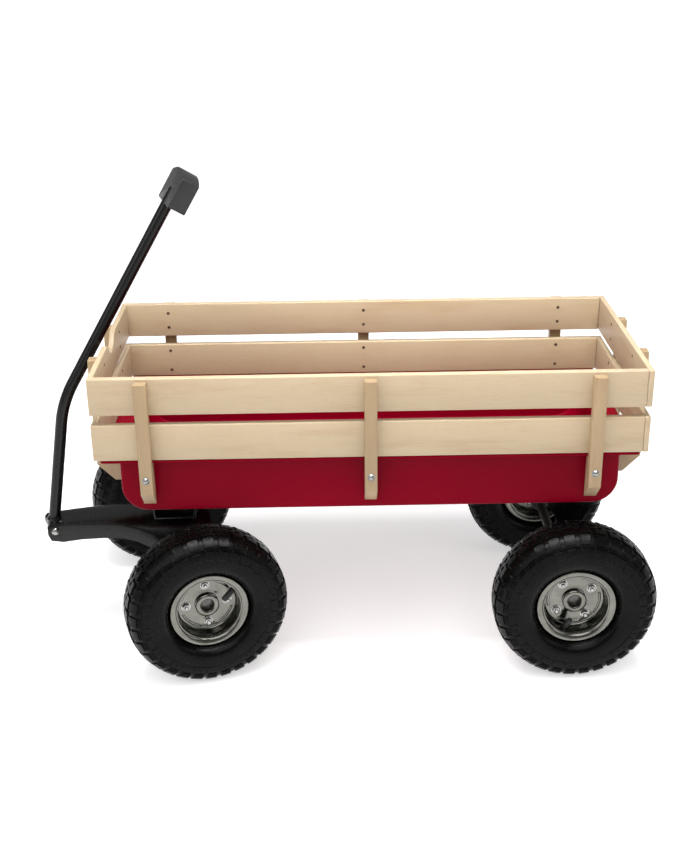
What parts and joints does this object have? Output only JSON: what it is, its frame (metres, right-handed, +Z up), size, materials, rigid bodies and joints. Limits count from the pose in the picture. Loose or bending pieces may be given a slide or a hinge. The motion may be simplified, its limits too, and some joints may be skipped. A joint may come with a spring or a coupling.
{
  "type": "wagon with pull handle",
  "caption": "Child's four-wheeled wagon: rounded steel tray with wooden stake-side rails, steered front axle, bent tube pull handle and pneumatic tyres.",
  "frame": {"origin": "on the ground, under the middle of the whole wagon with its handle leaning back", "axes": "+X towards the rear, with the handle and steered axle at -X; +Y towards the wagon's right side; +Z up"},
  "size_m": [0.991, 0.534, 0.7754],
  "materials": {
    "red_paint": "gloss dark red enamel",
    "black_paint": "semi-gloss black powder coat",
    "birch": "clear satin varnish",
    "zinc": "bright zinc plate",
    "chrome": "polished",
    "steel": "plain drawn steel",
    "tyre_rubber": "matt black tyre rubber",
    "tube_rubber": "matt black butyl",
    "grip_plastic": "moulded black plastic",
    "nylon": "natural nylon"
  },
  "bodies": {
    "wagon": {"tray": "red_paint", "left_upper_slat": "birch", "left_lower_slat": "birch", "right_upper_slat": "birch", "right_lower_slat": "birch", "front_upper_slat": "birch", "front_lower_slat": "birch", "rear_upper_slat": "birch", "rear_lower_slat": "birch", "left_front_stake": "birch", "left_middle_stake": "birch", "left_rear_stake": "birch", "right_front_stake": "birch", "right_middle_stake": "birch", "right_rear_stake": "birch", "front_left_stake": "birch", "front_right_stake": "birch", "rear_left_stake": "birch", "rear_right_stake": "birch", "left_front_stake_bolt": "chrome", "left_middle_stake_bolt": "chrome", "left_rear_stake_bolt": "chrome", "right_front_stake_bolt": "chrome", "right_middle_stake_bolt": "chrome", "right_rear_stake_bolt": "chrome", "front_left_stake_bolt": "chrome", "front_right_stake_bolt": "chrome", "rear_left_stake_bolt": "chrome", "rear_right_stake_bolt": "chrome", "rear_axle_bracket": "black_paint", "rear_axle": "steel", "front_bolster": "black_paint", "kingpin": "steel"},
    "steering": {"steering_yoke": "black_paint", "turntable_plate": "nylon", "front_axle": "steel", "handle_pivot_bolt": "chrome"},
    "handle": {"handle_tube": "black_paint", "handle_grip": "grip_plastic"},
    "front_left_wheel": {"front_left_tyre": "tyre_rubber", "front_left_inner_tube": "tube_rubber", "front_left_rim_outer": "zinc", "front_left_rim_inner": "zinc", "front_left_hub": "zinc"},
    "front_right_wheel": {"front_right_tyre": "tyre_rubber", "front_right_inner_tube": "tube_rubber", "front_right_rim_outer": "zinc", "front_right_rim_inner": "zinc", "front_right_hub": "zinc"},
    "rear_left_wheel": {"rear_left_tyre": "tyre_rubber", "rear_left_inner_tube": "tube_rubber", "rear_left_rim_outer": "zinc", "rear_left_rim_inner": "zinc", "rear_left_hub": "zinc"},
    "rear_right_wheel": {"rear_right_tyre": "tyre_rubber", "rear_right_inner_tube": "tube_rubber", "rear_right_rim_outer": "zinc", "rear_right_rim_inner": "zinc", "rear_right_hub": "zinc"}
  },
  "joints": [
    {"name": "front_steer", "type": "hinge", "parent": "wagon", "child": "steering", "pos_m": [-0.2735, 0, 0.2], "axis": [0, 0, 1], "range_deg": [-37.8, 5.2]},
    {"name": "handle_pivot", "type": "hinge", "parent": "steering", "child": "handle", "pos_m": [-0.47602, -0.05922, 0.201], "axis": [0.2807, -0.9598, 0], "range_deg": [0, 128]},
    {"name": "front_left_wheel_spin", "type": "hinge", "parent": "steering", "child": "front_left_wheel", "pos_m": [-0.21596, -0.19676, 0.129], "axis": [0.2807, -0.9598, 0], "continuous": true},
    {"name": "front_right_wheel_spin", "type": "hinge", "parent": "steering", "child": "front_right_wheel", "pos_m": [-0.33104, 0.19676, 0.129], "axis": [0.2807, -0.9598, 0], "continuous": true},
    {"name": "rear_left_wheel_spin", "type": "hinge", "parent": "wagon", "child": "rear_left_wheel", "pos_m": [0.3665, -0.205, 0.129], "axis": [0, -1, 0], "continuous": true},
    {"name": "rear_right_wheel_spin", "type": "hinge", "parent": "wagon", "child": "rear_right_wheel", "pos_m": [0.3665, 0.205, 0.129], "axis": [0, -1, 0], "continuous": true}
  ]
}
